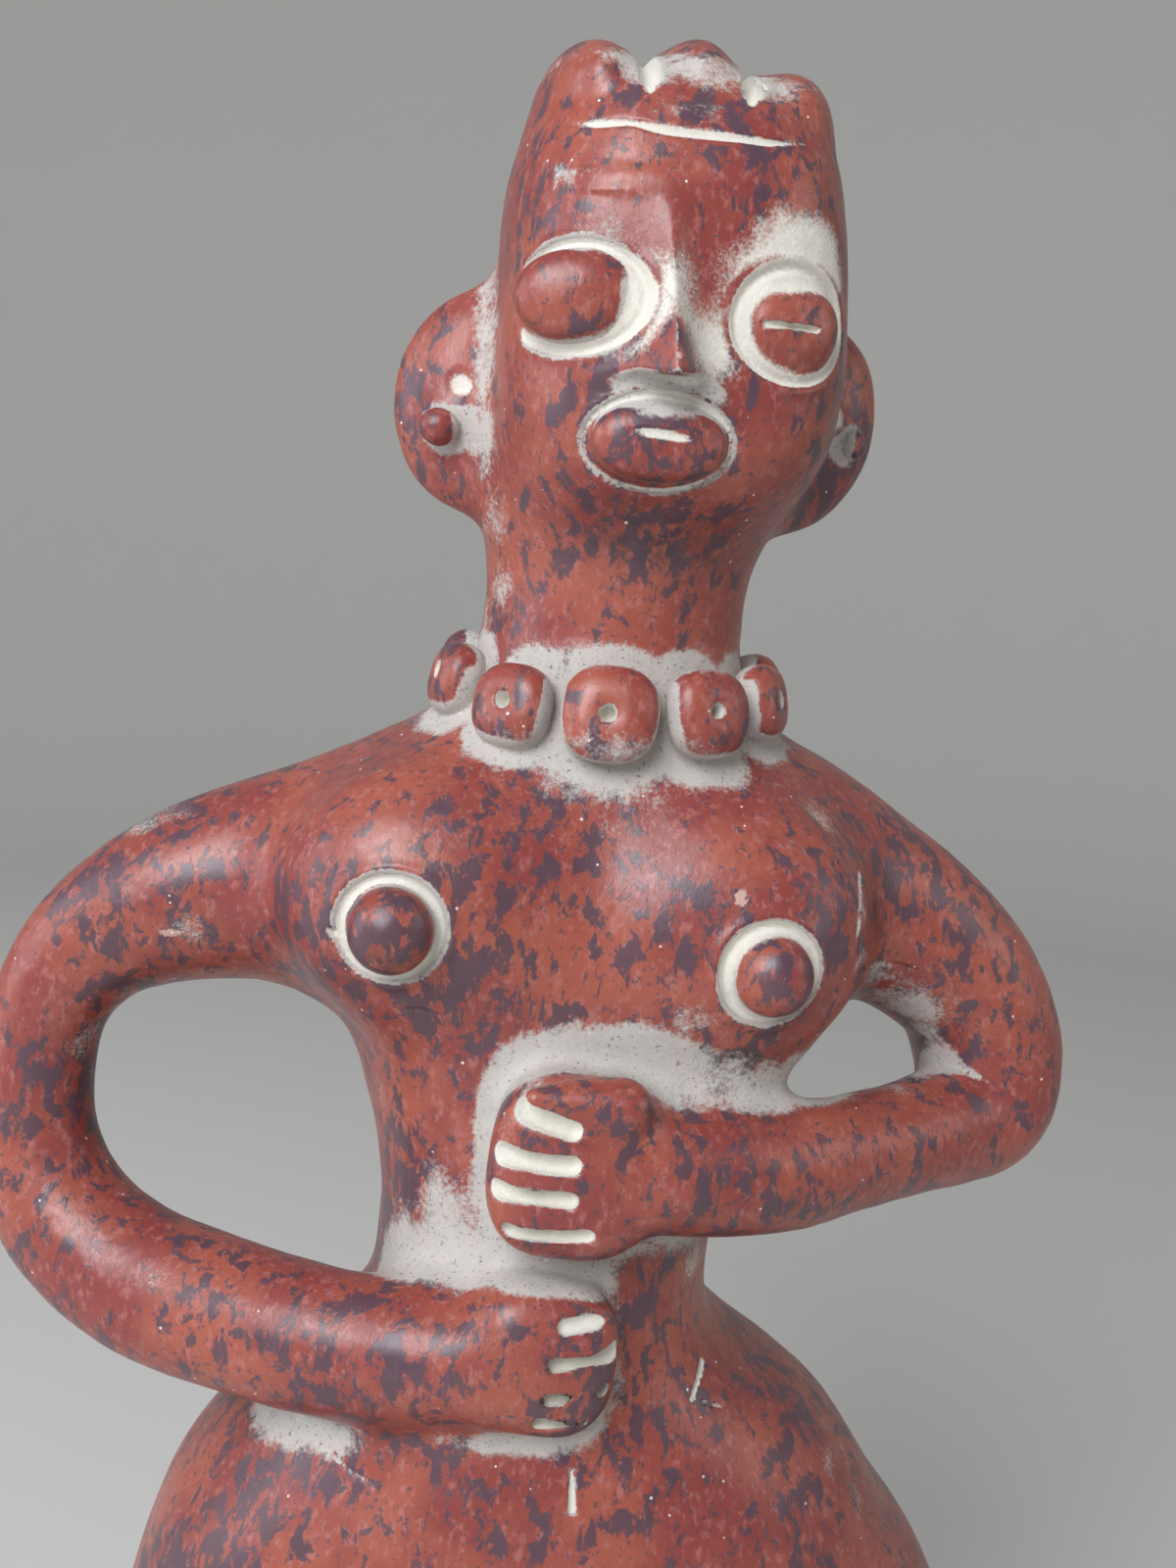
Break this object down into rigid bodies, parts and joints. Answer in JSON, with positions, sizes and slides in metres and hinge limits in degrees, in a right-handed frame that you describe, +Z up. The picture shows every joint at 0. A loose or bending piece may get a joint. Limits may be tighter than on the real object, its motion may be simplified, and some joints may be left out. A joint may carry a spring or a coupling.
{
  "type": "standing female figurine",
  "caption": "Standing female figure in hand-modelled red-slipped clay with arms bent to the belly, disc-bead necklace and low oval base, set down as an ornament.",
  "frame": {"origin": "centre of the flat underside of the oval base, which the figure stands on", "axes": "+Z up along the figure, -Y the way the face looks, +X to the right of someone who looks at the face"},
  "size_m": [0.1937, 0.0976, 0.3925],
  "materials": {
    "red_slip": "satin burnished slip"
  },
  "bodies": {
    "root": {"figurine": "red_slip"}
  },
  "joints": []
}
